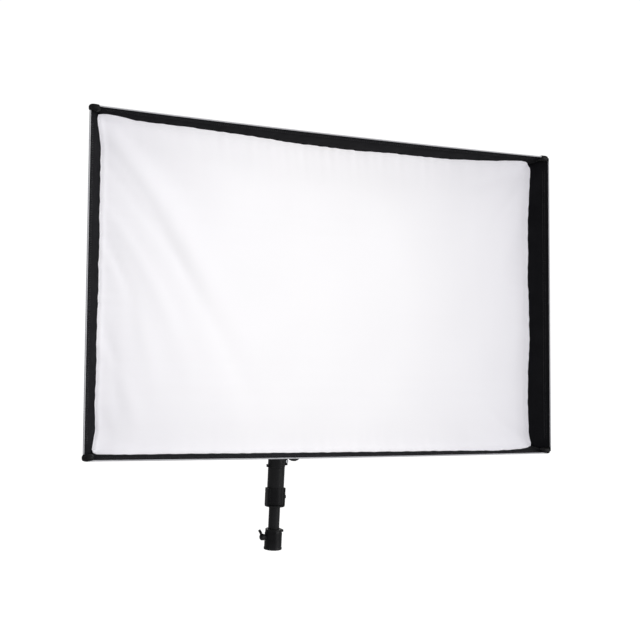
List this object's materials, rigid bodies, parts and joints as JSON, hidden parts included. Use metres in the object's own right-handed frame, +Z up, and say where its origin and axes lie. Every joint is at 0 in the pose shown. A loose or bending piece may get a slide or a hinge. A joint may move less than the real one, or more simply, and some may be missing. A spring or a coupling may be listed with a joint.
{
  "type": "led panel light",
  "caption": "Large LED panel light with a recessed-front softbox, a tilting U-yoke and the top of its stand.",
  "frame": {"origin": "middle of the stand collar's lower end, where the light sits on its stand", "axes": "+Z up along the stand, +X to the right of somebody who looks at the lit front, the lit front faces -Y and looks 5.5 degrees up"},
  "size_m": [1.146, 0.4431, 1.0071],
  "materials": {
    "black_casting": "satin black, cast",
    "black_tube": "black anodised",
    "brass": "turned",
    "black_plastic": "fine moulded grain",
    "zinc_steel": "zinc plated",
    "spring_steel": "drawn",
    "black_powder_coat": "fine black powder coat",
    "black_rubber": "matt",
    "frosted_plastic": "frosted",
    "white_paint": "matt white reflector paint",
    "circuit_board": "white solder mask",
    "bare_aluminium": "extruded",
    "dark_glass": "gloss",
    "black_fabric": "matt woven nylon with a silver-grey bound edge",
    "white_cloth": "soft white diffusion cloth"
  },
  "bodies": {
    "stand_top": {"stand_collar": "black_casting", "clamp_pad": "brass"},
    "clamp_lever": {"clamp_lever": "black_plastic"},
    "riser": {"riser_tube": "black_tube", "riser_cap": "black_plastic", "receiver_collar": "black_casting", "receiver_tube": "black_casting", "king_bolt": "zinc_steel"},
    "receiver_knob": {"receiver_knob": "black_plastic"},
    "yoke": {"swivel_ring": "black_casting", "ring_clamp_screw": "zinc_steel", "yoke_bar": "black_powder_coat", "yoke_arm_left": "black_powder_coat", "yoke_arm_right": "black_powder_coat", "yoke_bolt_left": "zinc_steel", "yoke_bolt_right": "zinc_steel", "safety_eye": "zinc_steel", "safety_eye_nut": "black_rubber", "friction_washer_left": "black_rubber", "friction_washer_right": "black_rubber", "pivot_bolt_left": "zinc_steel", "pivot_bolt_right": "zinc_steel"},
    "tilt_lever_left": {"tilt_lever_left": "black_plastic"},
    "tilt_lever_right": {"tilt_lever_right": "black_plastic"},
    "head": {"rear_casing": "black_powder_coat", "end_cap_left": "black_powder_coat", "end_cap_right": "black_powder_coat", "front_bezel": "black_powder_coat", "diffusion_panel": "frosted_plastic", "light_tray": "white_paint", "led_board_left": "circuit_board", "led_board_right": "circuit_board", "heat_sink": "bare_aluminium", "power_supply": "bare_aluminium", "driver_board": "circuit_board", "fan_frame": "black_plastic", "control_panel": "black_plastic", "display_window": "dark_glass", "power_inlet": "black_plastic", "data_in_socket": "zinc_steel", "data_out_socket": "zinc_steel", "grab_handle_left": "black_rubber", "grab_handle_right": "black_rubber", "softbox_rear_frame": "black_plastic", "softbox_shell": "black_fabric", "front_diffuser": "white_cloth", "corner_cap_top_left": "black_plastic", "corner_cap_top_right": "black_plastic", "corner_cap_bottom_left": "black_plastic", "corner_cap_bottom_right": "black_plastic", "corner_rod_top_left": "spring_steel", "corner_rod_top_right": "spring_steel", "corner_rod_bottom_left": "spring_steel", "corner_rod_bottom_right": "spring_steel"},
    "fan_rotor": {"fan_rotor": "black_plastic"},
    "intensity_knob": {"intensity_knob": "black_rubber"},
    "colour_knob": {"colour_knob": "black_rubber"},
    "menu_button_left": {"menu_button_left": "black_rubber"},
    "menu_button_right": {"menu_button_right": "black_rubber"},
    "power_switch": {"power_switch": "black_plastic"}
  },
  "joints": [
    {"name": "riser_height", "type": "slide", "parent": "stand_top", "child": "riser", "axis": [0, 0, 1], "range_m": [0, 0.012]},
    {"name": "clamp_lever_turn", "type": "hinge", "parent": "stand_top", "child": "clamp_lever", "pos_m": [-0.03, 0, 0.031], "axis": [-1, 0, 0], "range_deg": [-200, 0]},
    {"name": "receiver_knob_turn", "type": "hinge", "parent": "riser", "child": "receiver_knob", "pos_m": [0.02806, 0.02092, 0.1255], "axis": [0.8018, 0.5976, 0], "range_deg": [-720, 0]},
    {"name": "pan", "type": "hinge", "parent": "riser", "child": "yoke", "pos_m": [0, 0, 0.23], "axis": [0, 0, 1], "continuous": true},
    {"name": "tilt", "type": "hinge", "parent": "yoke", "child": "head", "pos_m": [0, 0, 0.613], "axis": [-1, 0, 0], "range_deg": [-22, 80]},
    {"name": "tilt_lever_left_turn", "type": "hinge", "parent": "yoke", "child": "tilt_lever_left", "pos_m": [-0.479, 0, 0.613], "axis": [-1, 0, 0], "range_deg": [-135, 0]},
    {"name": "tilt_lever_right_turn", "type": "hinge", "parent": "yoke", "child": "tilt_lever_right", "pos_m": [0.479, 0, 0.613], "axis": [1, 0, 0], "range_deg": [-135, 0]},
    {"name": "fan_spin", "type": "hinge", "parent": "head", "child": "fan_rotor", "pos_m": [0, -0.02765, 0.55538], "axis": [0, 0.9954, -0.0958], "continuous": true},
    {"name": "intensity_knob_turn", "type": "hinge", "parent": "head", "child": "intensity_knob", "pos_m": [0.095, 0.05976, 0.73282], "axis": [0, 0.9954, -0.0958], "continuous": true},
    {"name": "colour_knob_turn", "type": "hinge", "parent": "head", "child": "colour_knob", "pos_m": [-0.095, 0.05976, 0.73282], "axis": [0, 0.9954, -0.0958], "continuous": true},
    {"name": "menu_button_left_press", "type": "slide", "parent": "head", "child": "menu_button_left", "axis": [0, -0.9954, 0.0958], "range_m": [0, 0.0015], "stiffness_N_per_m": 300},
    {"name": "menu_button_right_press", "type": "slide", "parent": "head", "child": "menu_button_right", "axis": [0, -0.9954, 0.0958], "range_m": [0, 0.0015], "stiffness_N_per_m": 300},
    {"name": "power_switch_rock", "type": "hinge", "parent": "head", "child": "power_switch", "pos_m": [-0.04, 0.01713, 0.42047], "axis": [-1, 0, 0], "range_deg": [0, 14]}
  ]
}
